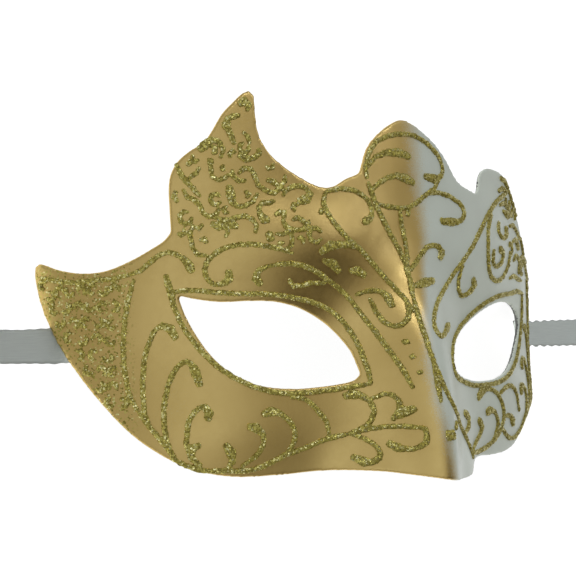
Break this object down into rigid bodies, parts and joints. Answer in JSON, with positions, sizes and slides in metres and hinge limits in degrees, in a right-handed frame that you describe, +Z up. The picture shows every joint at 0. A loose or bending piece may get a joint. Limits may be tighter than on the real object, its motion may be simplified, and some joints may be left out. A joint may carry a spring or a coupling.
{
  "type": "venetian masquerade mask",
  "caption": "Moulded half mask with two eye openings, a nose ridge, horned upper edge, raised glitter scrollwork and satin ribbon ties.",
  "frame": {"origin": "on the table, below the middle of the mask shell's own bounding box", "axes": "+X across the face from the tall-horned side to the low-horned side, +Y up the face and lying nearly flat on the table, +Z up from the table and out of the face"},
  "size_m": [0.3444, 0.105, 0.0479],
  "materials": {
    "shell": "satin metallic gold lacquer on one half that fades into pearl white on the other half, plain matt inner side",
    "glitter": "coarse gold glitter in raised lines of clear glue",
    "ribbon": "woven satin, silver grey",
    "glue": "cloudy hot-melt glue"
  },
  "bodies": {
    "root": {"mask_shell": "shell", "glue_pad_left": "glue", "glue_pad_right": "glue", "ribbon_left": "ribbon", "ribbon_right": "ribbon", "ribbon_coil_left": "ribbon", "ribbon_coil_right": "ribbon", "ribbon_tie_left": "ribbon", "ribbon_tie_right": "ribbon", "temple_left_glitter": "glitter", "temple_right_glitter": "glitter", "horn_left_glitter": "glitter", "horn_right_glitter": "glitter", "cheek_left_glitter": "glitter", "cheek_right_glitter": "glitter", "eye_left_glitter": "glitter", "eye_right_glitter": "glitter", "brow_left_glitter": "glitter", "brow_right_glitter": "glitter", "crest_glitter": "glitter", "nose_glitter": "glitter"}
  },
  "joints": []
}
